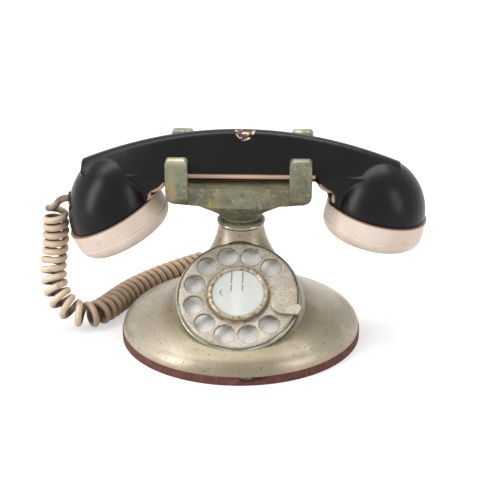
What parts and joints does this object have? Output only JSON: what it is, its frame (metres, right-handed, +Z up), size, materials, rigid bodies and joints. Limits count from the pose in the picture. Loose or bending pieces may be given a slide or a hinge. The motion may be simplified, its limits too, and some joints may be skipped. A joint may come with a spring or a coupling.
{
  "type": "rotary desk telephone",
  "caption": "Vintage rotary desk telephone with a round painted base, a tilted finger dial, a forked cradle, a black handset with ivory caps and a curly cord.",
  "frame": {"origin": "middle of the foot pad's underside, on the table", "axes": "+X to the right of someone dialling, along the handset; +Y to the back; +Z up"},
  "size_m": [0.2475, 0.17, 0.1336],
  "materials": {
    "housing_metal": "satin",
    "dial_metal": "satin",
    "cradle_metal": "satin",
    "nickel": "polished",
    "steel": "satin",
    "brass": "satin",
    "black_shell": "gloss",
    "cap_shell": "satin",
    "fibre": "matte",
    "window": "gloss",
    "card": "matte",
    "plate_enamel": "satin",
    "leather": "matte",
    "grommet": "matte",
    "cord_cover": "satin"
  },
  "bodies": {
    "base": {"barrel_post": "brass", "base_housing": "housing_metal", "base_pad": "leather", "base_plate": "steel", "base_plate_screws": "steel", "cord_grommet": "grommet", "cradle": "cradle_metal", "curly_cord": "cord_cover", "dial_clamp_screws": "steel", "dial_frame": "steel", "dial_ring": "nickel", "finger_stop": "dial_metal", "governor_cup": "brass", "governor_cup_post": "brass", "impulse_insulators": "fibre", "impulse_springs": "nickel", "main_bush": "brass", "mechanism_back_plate": "brass", "mechanism_pillars": "brass", "neck_collar": "nickel", "number_plate": "plate_enamel", "plunger_bush": "brass", "plunger_spring": "steel", "return_spring": "steel", "spring_barrel": "brass", "switch_bracket": "steel", "switch_insulators": "fibre", "switch_pivot": "steel", "switch_springs": "nickel", "terminal_screws": "brass", "terminal_strip": "fibre"},
    "dial": {"finger_wheel": "dial_metal", "card_ring": "dial_metal", "card_pan": "nickel", "dial_card": "card", "card_window": "window", "main_shaft": "steel", "wheel_nut": "brass", "main_gear": "brass"},
    "impulse": {"impulse_pinion": "brass", "governor_wheel": "brass", "impulse_arbor": "steel", "impulse_cam": "fibre"},
    "governor": {"governor_pinion": "steel", "governor_arbor": "steel", "governor_weights": "brass", "governor_arm": "steel"},
    "plunger": {"hook_plunger": "nickel"},
    "lever": {"hook_lever": "steel"},
    "handset": {"handset_body": "black_shell", "transmitter_cap": "cap_shell", "transmitter_capsule": "steel", "transmitter_contact": "nickel", "receiver_cap": "cap_shell", "receiver_capsule": "steel", "receiver_contact": "nickel", "cord_bushing": "grommet"}
  },
  "joints": [
    {"name": "dial_turn", "type": "hinge", "parent": "base", "child": "dial", "pos_m": [0, -0.03, 0.041], "axis": [0, 0.5878, -0.809], "range_deg": [0, 314], "stiffness_Nm_per_rad": 0.004, "springref_deg": -114.59},
    {"name": "impulse_spin", "type": "hinge", "parent": "base", "child": "impulse", "pos_m": [-0.01732, -0.01486, 0.03717], "axis": [0, 0.5878, -0.809], "range_deg": [-945, 0]},
    {"name": "governor_spin", "type": "hinge", "parent": "base", "child": "governor", "pos_m": [-0.02054, -0.02303, 0.02876], "axis": [0, 0.5878, -0.809], "range_deg": [0, 3780]},
    {"name": "handset_lift", "type": "slide", "parent": "base", "child": "handset", "axis": [0, 0, 1], "range_m": [0, 0.12], "deforming": ["curly_cord"]},
    {"name": "plunger_rise", "type": "slide", "parent": "base", "child": "plunger", "axis": [0, 0, 1], "range_m": [0, 0.005], "deforming": ["plunger_spring"]},
    {"name": "lever_rock", "type": "hinge", "parent": "base", "child": "lever", "pos_m": [-0.012, 0.015, 0.0248], "axis": [0, -1, 0], "range_deg": [0, 21]}
  ],
  "couplings": [
    {"joint": "impulse_spin", "follows": "dial_turn", "ratio": -3},
    {"joint": "governor_spin", "follows": "dial_turn", "ratio": 12},
    {"joint": "plunger_rise", "follows": "handset_lift", "ratio": 0.041667},
    {"joint": "lever_rock", "follows": "handset_lift", "rad_per_m": 3.05}
  ]
}
